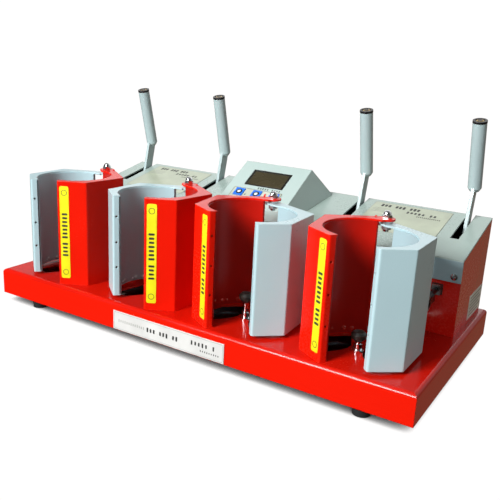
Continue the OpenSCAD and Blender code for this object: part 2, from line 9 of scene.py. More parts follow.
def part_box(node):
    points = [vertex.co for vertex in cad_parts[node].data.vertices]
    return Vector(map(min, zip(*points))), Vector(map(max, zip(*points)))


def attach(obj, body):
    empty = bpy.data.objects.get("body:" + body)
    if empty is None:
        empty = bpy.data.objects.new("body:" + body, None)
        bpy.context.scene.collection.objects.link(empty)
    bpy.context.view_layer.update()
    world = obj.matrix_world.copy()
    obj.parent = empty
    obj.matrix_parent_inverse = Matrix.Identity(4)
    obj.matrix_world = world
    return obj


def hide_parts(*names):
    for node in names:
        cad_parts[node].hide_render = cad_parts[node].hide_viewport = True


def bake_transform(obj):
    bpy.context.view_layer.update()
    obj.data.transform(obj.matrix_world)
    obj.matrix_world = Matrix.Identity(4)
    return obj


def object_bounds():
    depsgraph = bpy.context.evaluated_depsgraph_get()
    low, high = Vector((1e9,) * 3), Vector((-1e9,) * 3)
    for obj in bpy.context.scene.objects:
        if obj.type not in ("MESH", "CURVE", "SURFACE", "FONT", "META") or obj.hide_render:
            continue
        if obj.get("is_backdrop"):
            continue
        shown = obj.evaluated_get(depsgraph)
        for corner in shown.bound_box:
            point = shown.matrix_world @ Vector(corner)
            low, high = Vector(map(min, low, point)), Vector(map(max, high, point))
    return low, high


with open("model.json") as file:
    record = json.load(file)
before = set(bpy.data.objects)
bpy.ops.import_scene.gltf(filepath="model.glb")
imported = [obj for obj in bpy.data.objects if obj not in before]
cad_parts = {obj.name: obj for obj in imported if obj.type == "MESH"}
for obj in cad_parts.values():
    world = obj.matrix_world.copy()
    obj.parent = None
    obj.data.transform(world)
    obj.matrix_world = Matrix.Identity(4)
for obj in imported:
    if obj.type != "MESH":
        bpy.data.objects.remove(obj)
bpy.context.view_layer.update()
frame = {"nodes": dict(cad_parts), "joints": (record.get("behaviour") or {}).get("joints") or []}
nodes = frame["nodes"]
MM = 0.001

# ---------------------------------------------------------------- camera, floor and light
AZIMUTH, ELEVATION, ROLL = 31.52, 16.25, 2.84
LENS, SENSOR = 47.98, 36
SHIFT_X, SHIFT_Y = 0.0156, -0.0066
CAMERA_AT = (0.4222, -0.6792, 0.3312)
LAMPS_AIM = Vector((0, 0, 0.08))
az, el, roll = (math.radians(v) for v in (AZIMUTH, ELEVATION, ROLL))
back = Vector((math.sin(az) * math.cos(el), -math.cos(az) * math.cos(el), math.sin(el)))
right = (-back).cross(Vector((0, 0, 1))).normalized()
up = right.cross(-back)
cam_x = right * math.cos(roll) + up * math.sin(roll)
cam_y = -right * math.sin(roll) + up * math.cos(roll)
camera = bpy.data.objects.new("camera", bpy.data.cameras.new("camera"))
camera.data.sensor_width = SENSOR
camera.data.lens = LENS
camera.data.shift_x, camera.data.shift_y = SHIFT_X, SHIFT_Y
camera.data.clip_start, camera.data.clip_end = 0.05, 50
turn = Matrix((cam_x, cam_y, back)).transposed().to_4x4()
camera.matrix_world = Matrix.Translation(CAMERA_AT) @ turn
bpy.context.scene.collection.objects.link(camera)
bpy.context.scene.camera = camera
bpy.context.scene.view_settings.view_transform = "Standard"


def softbox(name, azimuth, elevation, distance, width, height, power, tint=(1, 1, 1)):
    """A rectangular lamp round the object; azimuth 0 is in front of it."""
    a, e = math.radians(azimuth), math.radians(elevation)
    way = Vector((math.sin(a) * math.cos(e), -math.cos(a) * math.cos(e), math.sin(e)))
    lamp = bpy.data.objects.new(name, bpy.data.lights.new(name, "AREA"))
    lamp.data.shape = "RECTANGLE"
    lamp.data.size, lamp.data.size_y = width, height
    lamp.data.energy = power
    lamp.data.color = tint
    lamp.location = LAMPS_AIM + way * distance
    lamp.rotation_mode = "QUATERNION"
    lamp.rotation_quaternion = (-way).to_track_quat("-Z", "Y")
    bpy.context.scene.collection.objects.link(lamp)
    return lamp


softbox("key", -16, 29, 2.2, 0.8, 0.8, 76)
softbox("top", -8, 66, 2.0, 1.4, 0.5, 3)
softbox("rear", 200, 25, 2.4, 2.6, 1.3, 9)
side = softbox("side", 92, 12, 2.4, 1.6, 1.2, 4, (1.0, 0.94, 0.84))
side.visible_glossy = False
fill = softbox("fill", 27, 16, 3.0, 3.0, 2.0, 14.5)
fill.visible_glossy = False

# the room: brighter behind the object and above, dim and warm below
world = bpy.data.worlds.new("studio")
bpy.context.scene.world = world
world.use_nodes = True
tree = world.node_tree
tree.nodes.clear()
ray = tree.nodes.new("ShaderNodeTexCoord")
split = tree.nodes.new("ShaderNodeSeparateXYZ")
tree.links.new(ray.outputs["Generated"], split.inputs[0])


def ramp(source, low, high, dark, bright):
    """A level that climbs with one part of the ray's direction."""
    made = tree.nodes.new("ShaderNodeMapRange")
    for name, value in (("From Min", low), ("From Max", high), ("To Min", dark), ("To Max", bright)):
        made.inputs[name].default_value = value
    tree.links.new(source, made.inputs["Value"])
    return made.outputs[0]


level = tree.nodes.new("ShaderNodeMath")
level.operation = "MULTIPLY"
tree.links.new(ramp(split.outputs["Y"], -0.1, 0.7, 0.05, 0.50), level.inputs[0])
tree.links.new(ramp(split.outputs["Z"], -0.12, 0.12, 0.34, 1.0), level.inputs[1])
glow = tree.nodes.new("ShaderNodeBackground")
tint = tree.nodes.new("ShaderNodeCombineXYZ")
tint.inputs[0].default_value = 1.0
tree.links.new(ramp(split.outputs["Z"], -0.15, 0.05, 0.66, 1.0), tint.inputs[1])
tree.links.new(ramp(split.outputs["Z"], -0.15, 0.05, 0.42, 1.0), tint.inputs[2])
tree.links.new(tint.outputs[0], glow.inputs["Color"])
tree.links.new(level.outputs[0], glow.inputs["Strength"])
sky = tree.nodes.new("ShaderNodeOutputWorld")
tree.links.new(glow.outputs[0], sky.inputs["Surface"])


# ---------------------------------------------------------------- materials
class Surface:
    """A procedural material built node by node; an input given a socket is linked to it."""

    def __init__(self, name, **sockets):
        self.material = bpy.data.materials.new(name)
        self.material.use_nodes = True
        self.tree = self.material.node_tree
        self.tree.nodes.clear()
        self.shader = self.node("ShaderNodeBsdfPrincipled", **sockets)
        out = self.tree.nodes.new("ShaderNodeOutputMaterial")
        self.tree.links.new(self.shader.outputs[0], out.inputs["Surface"])
        self.place = self.node("ShaderNodeTexCoord").outputs["Object"]

    def node(self, kind, settings=None, **inputs):
        made = self.tree.nodes.new(kind)
        for key, value in (settings or {}).items():
            setattr(made, key, value)
        for key, value in inputs.items():
            self.put(made.inputs[key.replace("_", " ")], value)
        return made

    def put(self, socket, value):
        if isinstance(value, bpy.types.NodeSocket):
            self.tree.links.new(value, socket)
        elif hasattr(value, "__len__") and len(value) == 3 and socket.type == "RGBA":
            socket.default_value = (*value, 1)
        else:
            socket.default_value = value

    def set(self, **sockets):
        for key, value in sockets.items():
            self.put(self.shader.inputs[key.replace("_", " ")], value)

    def noise(self, scale, detail=2.0, stretch=None):
        where = self.place
        if stretch:
            where = self.node("ShaderNodeMapping", Vector=where, Scale=stretch).outputs[0]
        return self.node(
            "ShaderNodeTexNoise", Vector=where, Scale=scale, Detail=detail, Roughness=0.5
        ).outputs[0]

    def remap(self, value, low, high, to_low=0.0, to_high=1.0):
        return self.node(
            "ShaderNodeMapRange", Value=value, From_Min=low, From_Max=high, To_Min=to_low,
            To_Max=to_high,
        ).outputs[0]

    def calc(self, how, a, b):
        made = self.node("ShaderNodeMath", {"operation": how})
        self.put(made.inputs[0], a)
        self.put(made.inputs[1], b)
        return made.outputs[0]

    def mix(self, share, a, b):
        made = self.node("ShaderNodeMix", {"data_type": "RGBA"})
        self.put(made.inputs[0], share)
        self.put(made.inputs[6], a)
        self.put(made.inputs[7], b)
        return made.outputs[2]

    def rounded(self, radius):
        """The normal with sharp edges rounded, and a mask that is 1 on those edges."""
        soft = self.node("ShaderNodeBevel", {"samples": 4}, Radius=radius).outputs[0]
        flat = self.node("ShaderNodeNewGeometry").outputs["Normal"]
        dot = self.node("ShaderNodeVectorMath", {"operation": "DOT_PRODUCT"})
        self.put(dot.inputs[0], soft)
        self.put(dot.inputs[1], flat)
        return soft, self.remap(dot.outputs["Value"], 0.995, 0.86)

    def bump(self, height, distance, strength=1.0, normal=None):
        made = self.node("ShaderNodeBump", Height=height, Distance=distance, Strength=strength)
        if normal is not None:
            self.put(made.inputs["Normal"], normal)
        return made.outputs[0]


BLACKENED = (0.014, 0.015, 0.016)
UNLIT = (0.010, 0.009, 0.009)


def scaled(color, k):
    return tuple(min(1.0, c * k) for c in color)


def painted(name, color, rough=0.3, peel=0.00003, edge=None, coat=0.0, drift=0.08, shine=0.5,
            beyond=None, below=None, inside=None):
    """Powder-coated sheet: slow drift of tone, orange peel, speckle, and edges lightened in patches that
    are partly wear and partly a painted highlight.

    beyond is (x, y, radius): the sheet is blackened further than that from an upright line.
    below is (height, color): the sheet has that colour under the height.
    inside is (low x, high x, low y, high y): within these walls the sheet is painted near black, a painted
    shade.
    """
    s = Surface(name, Coat_Weight=coat, Coat_Roughness=0.12, Specular_IOR_Level=shine)
    cloud = s.noise(7.0, 3.0)
    fine = s.noise(520, 2.0)
    speck = s.remap(s.noise(1500.0, 1.0), 0.66, 0.74)
    tone = s.mix(s.remap(cloud, 0.3, 0.7), scaled(color, 1 - drift), scaled(color, 1 + drift))
    tone = s.mix(s.calc("MULTIPLY", speck, 0.16), tone, scaled(color, 1.5))
    soft, rim = s.rounded(0.0011)
    # edges take the lighter edge colour in patches: partly wear, partly a painted highlight
    if edge:
        wear_and_highlight_patches = s.remap(s.noise(160.0, 4.0), 0.42, 0.62)
        tone = s.mix(s.calc("MULTIPLY", s.calc("MULTIPLY", rim, wear_and_highlight_patches), 0.55), tone, edge)
    part = s.node("ShaderNodeSeparateXYZ", Vector=s.place).outputs
    if beyond:
        dx, dy = s.calc("SUBTRACT", part["X"], beyond[0]), s.calc("SUBTRACT", part["Y"], beyond[1])
        apart = s.calc("ADD", s.calc("MULTIPLY", dx, dx), s.calc("MULTIPLY", dy, dy))
        tone = s.mix(s.calc("GREATER_THAN", apart, beyond[2] ** 2), tone, BLACKENED)
    if below:
        tone = s.mix(s.calc("LESS_THAN", part["Z"], below[0]), tone, below[1])
    # painted shade: the sheet inside the walls is darkened to near black
    if inside:
        within = s.calc("GREATER_THAN", part["X"], inside[0])
        within = s.calc("MULTIPLY", within, s.calc("LESS_THAN", part["X"], inside[1]))
        within = s.calc("MULTIPLY", within, s.calc("GREATER_THAN", part["Y"], inside[2]))
        within = s.calc("MULTIPLY", within, s.calc("LESS_THAN", part["Y"], inside[3]))
        tone = s.mix(within, tone, UNLIT)
    s.set(Base_Color=tone)
    haze = s.calc("ADD", s.remap(cloud, 0.3, 0.7, -0.04, 0.05), s.remap(fine, 0.3, 0.7, -0.03, 0.03))
    s.set(Roughness=s.calc("ADD", haze, rough))
    s.set(Normal=s.bump(fine, peel, 0.8, s.bump(s.noise(60.0, 1.0), peel * 3, 0.5, soft)))
    return s.material


def metal(name, color, rough=0.16, stretch=None, lines=900.0, radius=0.0005, depth=0.000006):
    """Bare or plated metal with fine marks and rounded edges."""
    s = Surface(name, Metallic=1.0)
    cloud = s.noise(45.0, 4.0)
    mark = s.noise(lines, 3.0, stretch)
    soft, rim = s.rounded(radius)
    tone = s.mix(s.remap(cloud, 0.3, 0.7), scaled(color, 0.86), scaled(color, 1.06))
    # edges painted a little lighter than the rest: painted highlight
    s.set(Base_Color=s.mix(s.calc("MULTIPLY", rim, 0.4), tone, scaled(color, 1.2)))
    spread = s.calc("ADD", s.remap(cloud, 0.3, 0.7, -0.05, 0.06), s.remap(mark, 0.3, 0.7, -0.04, 0.05))
    s.set(Roughness=s.calc("ADD", spread, rough))
    s.set(Normal=s.bump(mark, depth, 1.0, soft))
    return s.material


def plastic(name, color, rough=0.42, grain=1600.0, depth=0.00001, radius=0.0006, rim_color=None,
            coat=0.0):
    """Moulded plastic or rubber with a fine grain, and edges painted lighter: partly dust, partly a painted
    highlight.
    """
    s = Surface(name, Coat_Weight=coat, Coat_Roughness=0.05)
    cloud = s.noise(30.0, 3.0)
    fine = s.noise(grain, 2.0)
    soft, rim = s.rounded(radius)
    tone = s.mix(s.remap(cloud, 0.3, 0.7), scaled(color, 0.88), scaled(color, 1.12))
    # lighter edges: partly dust, partly a painted highlight
    tone = s.mix(s.calc("MULTIPLY", rim, 0.35), tone, rim_color or scaled(color, 1.6))
    s.set(Base_Color=tone)
    s.set(Roughness=s.calc("ADD", s.remap(cloud, 0.3, 0.7, -0.05, 0.06), rough))
    s.set(Normal=s.bump(fine, depth, 1.0, soft))
    return s.material


# ---------------------------------------------------------------- places taken from the CAD frame
hinge_y = -25.5 * MM
station_x = {1: -0.196, 2: -0.060, 3: 0.060, 4: 0.196}
side_of = {1: -1, 2: -1, 3: 1, 4: 1}
swing = {i: math.radians(j["range_deg"][1]) for i in station_x for j in frame["joints"]
         if j["name"] == f"clamp_close_{i}"}
top_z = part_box("base_tray")[1].z
shell_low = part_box("fixed_shell_3")[0].z
house_low, house_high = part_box("housing")
clamp_y = -55
clevis_reach = 62.6 * MM
cover_front, cover_rear, cover_rise, cover_foot = 16.5, 133, 26, 88
cover_slope = cover_rise / (cover_rear - cover_front)
cover_bend = top_z + 86.6 * MM
half_wall = 1.2 * MM
knob_height = 10.7 * MM


def at_station(i, x, y, z, turn=0.0):
    """A place given in millimetres from the hinge of a right-hand station, turned about the hinge."""
    c, d = math.cos(turn), math.sin(turn)
    return Vector((station_x[i] + side_of[i] * (x * c - y * d) * MM, hinge_y + (x * d + y * c) * MM,
                   top_z + z * MM))


RED = (0.72, 0.0095, 0.0022)
GRAY = (0.445, 0.62, 0.66)
red_paint = painted("red_paint", RED, 0.24, 0.00006, edge=(0.75, 0.16, 0.10), coat=0.06, shine=0.12)
# the inside of the housing is painted near black (UNLIT): painted shade
house_paint = painted("house_paint", RED, 0.22, edge=(0.75, 0.16, 0.10), coat=0.5, shine=0.45,
                      inside=(house_low.x + half_wall, house_high.x - half_wall,
                              house_low.y + half_wall, house_high.y - half_wall))
# the tray's top is painted darker than its sides, which take RED under top_z - 4 mm: painted shade on the
# top
base_paint = painted("base_paint", (0.54, 0.007, 0.0018), 0.20, 0.00006, edge=(0.80, 0.14, 0.08),
                     coat=0.14, shine=0.24, below=(top_z - 4 * MM, RED))
# the inner walls take the shell's red darkened: painted shade inside the shells
liner_red = painted("liner_red", (0.42, 0.006, 0.002), 0.34, coat=0.05, shine=0.2)
gray_paint = {}
for i in station_x:
    axis = at_station(i, 0, clamp_y, 0, swing[i])
    gray_paint[i] = painted(f"gray_paint_{i}", GRAY, 0.30, 0.000012, edge=(0.74, 0.82, 0.82), coat=0.2,
                            drift=0.04, beyond=(axis.x, axis.y, clevis_reach))
# the inner walls take the shell's gray darkened: painted shade inside the shells
liner_gray = painted("liner_gray", (0.36, 0.50, 0.54), 0.36, coat=0.05, drift=0.05, shine=0.3)
# below the bend the cover's lip is painted a lighter bluish gray: a painted reflection
cover_paint = painted("cover_paint", (0.36, 0.46, 0.42), 0.30, 0.000012, edge=(0.62, 0.68, 0.63),
                      coat=0.2, drift=0.04, below=(cover_bend, (0.40, 0.56, 0.60)))
unit_paint = painted("unit_paint", (0.46, 0.58, 0.55), 0.34, edge=(0.66, 0.72, 0.68), coat=0.15,
                     drift=0.03)
lever_paint = painted("lever_paint", (0.40, 0.51, 0.52), 0.30, edge=(0.62, 0.67, 0.66), coat=0.3,
                      drift=0.05)
chrome = metal("chrome", (0.90, 0.91, 0.92), 0.14)
plated = metal("plated", (0.86, 0.88, 0.88), 0.34)
black_steel = metal("black_steel", (0.07, 0.07, 0.072), 0.26)
steel = metal("steel", (0.60, 0.60, 0.58), 0.26, (1, 12, 12), 500.0)
zinc = metal("zinc", (0.42, 0.43, 0.44), 0.38, depth=0.00001)
board = plastic("board", (0.02, 0.11, 0.035), 0.4)
silicone = plastic("silicone", (0.55, 0.13, 0.03), 0.6, 900.0)
rubber = plastic("rubber", (0.014, 0.015, 0.016), 0.62, 1200.0, 0.00002, rim_color=(0.05, 0.05, 0.05))
black_plastic = plastic("black_plastic", (0.009, 0.009, 0.010), 0.30, rim_color=(0.03, 0.03, 0.03))
cable = plastic("cable", (0.010, 0.010, 0.011), 0.45, 700.0)
key_blue = plastic("key_blue", (0.016, 0.17, 0.75), 0.32, rim_color=(0.05, 0.28, 0.85), coat=0.3)
key_black = plastic("key_black", (0.010, 0.010, 0.012), 0.35)
key_white = plastic("key_white", (0.78, 0.80, 0.78), 0.35)
lamp_red = plastic("lamp_red", (0.70, 0.02, 0.015), 0.2, coat=0.6)
brass = metal("brass", (0.62, 0.45, 0.20), 0.24)
ink = plastic("ink", (0.03, 0.03, 0.028), 0.5, 900.0)
pale_ink = plastic("pale_ink", (0.28, 0.29, 0.26), 0.5, 900.0)
yellow_film = plastic("yellow_film", (0.80, 0.75, 0.011), 0.34, 1100.0, 0.000006,
                      rim_color=(0.95, 0.90, 0.2), coat=0.15)
cover_film = plastic("cover_film", (0.44, 0.49, 0.37), 0.36, 1300.0, 0.000006, coat=0.2)
keypad_film = plastic("keypad_film", (0.50, 0.54, 0.45), 0.38, 1300.0, 0.000006, coat=0.1)
plate_film = plastic("plate_film", (0.64, 0.64, 0.62), 0.30, 1300.0, 0.000005, coat=0.3)
silver_film = plastic("silver_film", (0.78, 0.84, 0.76), 0.34, 1300.0, 0.000006, coat=0.2)
glass_dark = plastic("glass_dark", (0.010, 0.010, 0.008), 0.22, 300.0, 0.000004, coat=0.3)
lcd_film = plastic("lcd_film", (0.042, 0.034, 0.012), 0.26, 300.0, 0.000004, coat=0.2)
rocker_red = plastic("rocker_red", (0.5, 0.01, 0.01), 0.25, coat=0.4)


def rest_material(foot):
    """Dark dished knob above the height foot, its plated stud below."""
    s = Surface("mug_rest")
    height = s.node("ShaderNodeSeparateXYZ", Vector=s.place).outputs["Z"]
    knob = s.calc("GREATER_THAN", height, foot)
    grain = s.noise(900.0, 3.0)
    dust = s.remap(s.noise(140.0, 3.0), 0.5, 0.8)
    soft, rim = s.rounded(0.0007)
    dark = s.mix(s.calc("MULTIPLY", dust, 0.25), (0.014, 0.012, 0.010), (0.12, 0.10, 0.07))
    dark = s.mix(s.calc("MULTIPLY", rim, 0.5), dark, (0.10, 0.085, 0.06))
    s.set(Base_Color=s.mix(knob, (0.78, 0.79, 0.80), dark))
    s.set(Metallic=s.calc("SUBTRACT", 1.0, knob))
    s.set(Roughness=s.calc("ADD", s.calc("MULTIPLY", knob, 0.26), s.remap(grain, 0.3, 0.7, 0.08, 0.16)))
    s.set(Normal=s.bump(grain, 0.00001, 1.0, soft))
    return s.material


finish_of = {
    "base_tray": base_paint, "base_plate": zinc, "rubber_feet": rubber, "name_plate": plate_film,
    "housing": house_paint, "top_cover": cover_paint, "cover_screws": chrome,
    "control_box": unit_paint, "display_window": glass_dark, "keypad_panel": keypad_film,
    "button_down": key_blue, "button_up": key_blue, "button_start": key_blue,
    "controller_board": board, "power_inlet": black_plastic, "switch_frame": black_plastic,
    "switch_rocker": rocker_red, "fixed_liners": liner_red, "fixed_heaters": silicone,
    "heater_leads": cable, "shell_leads": cable, "hinge_bolts": chrome, "hinge_nuts": plated,
    "rod_guides": steel,
    "lever_brackets": zinc, "lever_shafts": steel, "rest_nuts": chrome,
}
for i in (1, 2, 3, 4):
    finish_of[f"fixed_shell_{i}"] = red_paint
    finish_of[f"moving_shell_{i}"] = gray_paint[i]
    finish_of[f"moving_liner_{i}"] = liner_gray
    finish_of[f"moving_heater_{i}"] = silicone
    finish_of[f"push_rod_{i}"] = black_steel
    finish_of[f"lever_{i}"] = lever_paint
    finish_of[f"grip_cap_{i}"] = black_plastic
    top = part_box(f"mug_rest_{i}")[1].z
    finish_of[f"mug_rest_{i}"] = rest_material(top - knob_height)
for name, obj in nodes.items():
    if name in finish_of:
        obj.data.materials.clear()
        obj.data.materials.append(finish_of[name])
        for face in obj.data.polygons:
            face.material_index = 0


# ---------------------------------------------------------------- building blocks
def place(name, mesh, matrix, material, body):
    """Puts a mesh made in its own frame into the scene, riding on a body."""
    obj = bpy.data.objects.new(name, mesh)
    bpy.context.scene.collection.objects.link(obj)
    obj.matrix_world = matrix
    mesh.materials.append(material)
    if body:
        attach(obj, body)
    return obj


def smooth(mesh, angle=35):
    for face in mesh.polygons:
        face.use_smooth = True
    mesh.set_sharp_from_angle(angle=math.radians(angle))
    return mesh


def oblong(w, h, r, steps=6, at=(0, 0)):
    """Outline of a rectangle with round corners, centred on a point."""
    points = []
    for k, (sx, sy) in enumerate(((1, 1), (-1, 1), (-1, -1), (1, -1))):
        for j in range(steps + 1):
            a = math.radians(90 * k + 90 * j / steps)
            points.append((at[0] + sx * (w / 2 - r) + r * math.cos(a),
                           at[1] + sy * (h / 2 - r) + r * math.sin(a)))
    return points


def sheet_of(outlines, low, high, edge=0.0):
    """Flat solids between two heights, one for each outline, with a small chamfer on top."""
    bm = bmesh.new()
    for outline in outlines:
        cx = sum(p[0] for p in outline) / len(outline)
        cy = sum(p[1] for p in outline) / len(outline)
        reach = max(math.hypot(p[0] - cx, p[1] - cy) for p in outline)
        k = 1 - edge / reach
        rings = [[bm.verts.new((x, y, low)) for x, y in outline],
                 [bm.verts.new((x, y, high - edge)) for x, y in outline]]
        if edge:
            rings.append([bm.verts.new((cx + (x - cx) * k, cy + (y - cy) * k, high))
                          for x, y in outline])
        n = len(outline)
        for a, b in zip(rings, rings[1:]):
            for j in range(n):
                bm.faces.new((a[j], a[(j + 1) % n], b[(j + 1) % n], b[j]))
        bm.faces.new(list(reversed(rings[0])))
        bm.faces.new(rings[-1])
    mesh = bpy.data.meshes.new("sheet")
    bm.to_mesh(mesh)
    bm.free()
    return smooth(mesh, 25)


def frame_of(w, h, r, line, low, high):
    """A thin printed border line as a flat ring."""
    bm = bmesh.new()
    outer, inner = oblong(w, h, r), oblong(w - 2 * line, h - 2 * line, max(r - line, 0.0001))
    n = len(outer)
    rings = [[bm.verts.new((x, y, z)) for x, y in loop]
             for loop, z in ((outer, low), (outer, high), (inner, high), (inner, low))]
    for a, b in zip(rings, rings[1:] + rings[:1]):
        for j in range(n):
            bm.faces.new((a[j], a[(j + 1) % n], b[(j + 1) % n], b[j]))
    mesh = bpy.data.meshes.new("frame")
    bm.to_mesh(mesh)
    bm.free()
    return mesh


def ticks(count, w, h, pitch, at=(0, 0), gap=0):
    """Outlines of a row of plain upright strokes that stand in for print; every gap-th is left out."""
    first = at[0] - pitch * (count - 1) / 2
    return [oblong(w, h * (0.86 if k % 3 else 1.0), w * 0.3, 2, (first + pitch * k, at[1]))
            for k in range(count) if not gap or k % gap != gap - 1]


def lathe(profile, steps=40):
    """A solid of revolution round Z from (radius, height) points; a radius of 0 closes it."""
    bm = bmesh.new()
    rings = []
    for r, z in profile:
        if r == 0:
            rings.append([bm.verts.new((0, 0, z))])
        else:
            rings.append([bm.verts.new((r * math.cos(2 * math.pi * k / steps),
                                        r * math.sin(2 * math.pi * k / steps), z))
                          for k in range(steps)])
    for a, b in zip(rings, rings[1:]):
        for k in range(steps):
            m = (k + 1) % steps
            if len(a) == 1:
                bm.faces.new((a[0], b[m], b[k]))
            elif len(b) == 1:
                bm.faces.new((a[k], a[m], b[0]))
            else:
                bm.faces.new((a[k], a[m], b[m], b[k]))
    bmesh.ops.recalc_face_normals(bm, faces=bm.faces)
    mesh = bpy.data.meshes.new("turned")
    bm.to_mesh(mesh)
    bm.free()
    return smooth(mesh, 40)


def along(points, per=8):
    """Points on a smooth curve through the given points."""
    pts = [Vector(p) for p in points]
    pts = [2 * pts[0] - pts[1], *pts, 2 * pts[-1] - pts[-2]]
    out = []
    for a, b, c, d in zip(pts, pts[1:], pts[2:], pts[3:]):
        for k in range(per):
            t = k / per
            out.append(0.5 * (2 * b + (c - a) * t + (2 * a - 5 * b + 4 * c - d) * t * t
                              + (3 * b - a - 3 * c + d) * t ** 3))
    return [*out, pts[-2]]


def tube(points, radius, sides=14):
    """A round lead swept along points, closed at both ends."""
    bm = bmesh.new()
    rings = []
    side = Vector((1, 0, 0))
    for k, p in enumerate(points):
        run = (points[min(k + 1, len(points) - 1)] - points[max(k - 1, 0)]).normalized()
        side = (side - run * side.dot(run)).normalized()
        other = run.cross(side)
        rings.append([bm.verts.new(p + radius * (math.cos(2 * math.pi * j / sides) * side
                                                 + math.sin(2 * math.pi * j / sides) * other))
                      for j in range(sides)])
    for a, b in zip(rings, rings[1:]):
        for j in range(sides):
            m = (j + 1) % sides
            bm.faces.new((a[j], a[m], b[m], b[j]))
    bm.faces.new(list(reversed(rings[0])))
    bm.faces.new(rings[-1])
    bmesh.ops.recalc_face_normals(bm, faces=bm.faces)
    mesh = bpy.data.meshes.new("lead")
    bm.to_mesh(mesh)
    bm.free()
    return smooth(mesh, 60)


def basis(origin, x_way, z_way):
    """A frame at origin with its X and Z axes along the given ways."""
    z = Vector(z_way).normalized()
    x = Vector(x_way)
    x = (x - z * x.dot(z)).normalized()
    return Matrix.Translation(origin) @ Matrix((x, z.cross(x), z)).transposed().to_4x4()


# yellow strips on the front facets of the fixed shells; the corners are in metres from the hinge
axis_point = Vector((0, clamp_y * MM))
corner_front, corner_side = Vector((-0.0173, -0.104)), Vector((-0.048, -0.0865))
near = corner_front + (axis_point - corner_front).normalized() * 0.0011
far = corner_side + (axis_point - corner_side).normalized() * 0.0011
facet = (far - near).normalized()
out_of = Vector((-facet.y, facet.x))
strip_low, strip_high = shell_low + 8.4 * MM, shell_low + 124.4 * MM
strip_w = 11.2 * MM
ring_w, ring_at = 7.0 * MM, 50 * MM
for i in (1, 2, 3, 4):
    m = side_of[i]
    middle = near + facet * 7.9 * MM + out_of * 1.0 * MM
    origin = Vector((station_x[i] + m * middle.x, hinge_y + middle.y, (strip_low + strip_high) / 2))
    normal = Vector((m * out_of.x, out_of.y, 0))
    matrix = basis(origin, (0, 0, 1), normal)
    outline = oblong(strip_high - strip_low, strip_w, 2.2 * MM)
    place(f"yellow_strip_{i}", sheet_of([outline], -0.00005, 0.00028, 0.0001), matrix, yellow_film,
          "base")
    marks = ticks(7, 2.5 * MM, 6.8 * MM, 4.8 * MM, (9 * MM, 0))
    marks += ticks(4, 2.5 * MM, 6.8 * MM, 4.8 * MM, (-21 * MM, 0))
    place(f"strip_print_{i}", sheet_of(marks, 0.00022, 0.00034), matrix, ink, "base")
    for end in (-1, 1):
        ring = frame_of(ring_w, ring_w, 3.4 * MM, 0.6 * MM, 0.00022, 0.00034)
        middle = matrix @ Matrix.Translation((end * ring_at, 0, 0))
        place(f"strip_ring_{i}_{'low' if end < 0 else 'high'}", ring, middle, ink, "base")

# labels on the cover, with rows of plain strokes and ruled lines in place of print
rise = math.atan(cover_slope)
cover_normal = Vector((0, -math.sin(rise), math.cos(rise)))
label_w, label_d, label_y = 0.099, 0.0794, 88.25
label_z = top_z + (cover_foot + (label_y - cover_front) * cover_slope) * MM
for tag, x in (("left", -0.1795), ("right", 0.1765)):
    matrix = basis((x, label_y * MM, label_z), (1, 0, 0), cover_normal)
    outline = oblong(label_w, label_d, 0.0015)
    place(f"cover_label_{tag}", sheet_of([outline], -0.00005, 0.00025, 0.00008), matrix, cover_film,
          "base")
    rim_line = frame_of(label_w - 0.0004, label_d - 0.0004, 0.0014, 0.0004, 0.0002, 0.0003)
    place(f"cover_border_{tag}", rim_line, matrix, pale_ink, "base")
    rows = ticks(12, 0.0030, 0.0076, 0.0046, (-0.012, 0.0310), 4)
    rows += ticks(8, 0.0026, 0.0060, 0.0048, (0.0155, 0.0209), 6)
    rows += ticks(13, 0.0012, 0.0030, 0.0023, (0.0265, 0.0132))
    place(f"cover_print_{tag}", sheet_of(rows, 0.0002, 0.0003), matrix, ink, "base")
    lines = [oblong(0.020 + 0.003 * (k % 2), 0.0007, 0.0003, at=(-0.034, 0.022 - 0.0034 * k))
             for k in range(4)]
    place(f"cover_lines_{tag}", sheet_of(lines, 0.0002, 0.0003), matrix, pale_ink, "base")

# rows of plain strokes on the name plate
plate_low, plate_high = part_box("name_plate")
matrix = basis(((plate_low.x + plate_high.x) / 2, plate_low.y, (plate_low.z + plate_high.z) / 2),
               (1, 0, 0), (0, -1, 0))
across = (plate_low.x + plate_high.x) / 2
bold = ticks(10, 0.0024, 0.0056, 0.0046, (-0.0120 - across, 0), 4)
bold += ticks(7, 0.0021, 0.0052, 0.0048, (0.0442 - across, 0.0022), 6)
bold += ticks(9, 0.0011, 0.0022, 0.0029, (0.0533 - across, -0.0045))
place("plate_print", sheet_of(bold, -0.0001, 0.00004), matrix, ink, "base")
thin = ticks(13, 0.0009, 0.0036, 0.0031, (-0.0572 - across, 0.0003))
place("plate_print_thin", sheet_of(thin, -0.0001, 0.00004), matrix, pale_ink, "base")
place("plate_border", frame_of(0.1535, 0.0205, 0.001, 0.0003, -0.0001, 0.00005), matrix, pale_ink, "base")

# rating label on the right side of the housing, with ruled lines
matrix = basis((house_high.x, 0.1025, top_z + 17.4 * MM), (0, 1, 0), (1, 0, 0))
place("side_label", sheet_of([oblong(0.0596, 0.0300, 0.001)], -0.00005, 0.0003, 0.0001), matrix,
      silver_film, "base")
rows = [oblong(0.050 - 0.008 * (k % 2), 0.0010, 0.0003, at=(-0.004 * (k % 2), 0.0108 - 0.0043 * k))
        for k in range(6)]
place("side_print", sheet_of(rows, 0.0002, 0.00038), matrix, ink, "base")

# face of the control unit, placed down the slope from its top edge
slope = math.radians(31)
face_x, face_down = Vector((1, 0, 0)), Vector((0, -math.cos(slope), -math.sin(slope)))
face_out = Vector((0, -math.sin(slope), math.cos(slope)))
face_top = Vector((0, 0.092, top_z + 0.147))
key_row = 0.062
key_top = 0.0014


def on_face(x, down, lift=0.0):
    return basis(face_top + face_x * x + face_down * down + face_out * lift, (1, 0, 0), face_out)


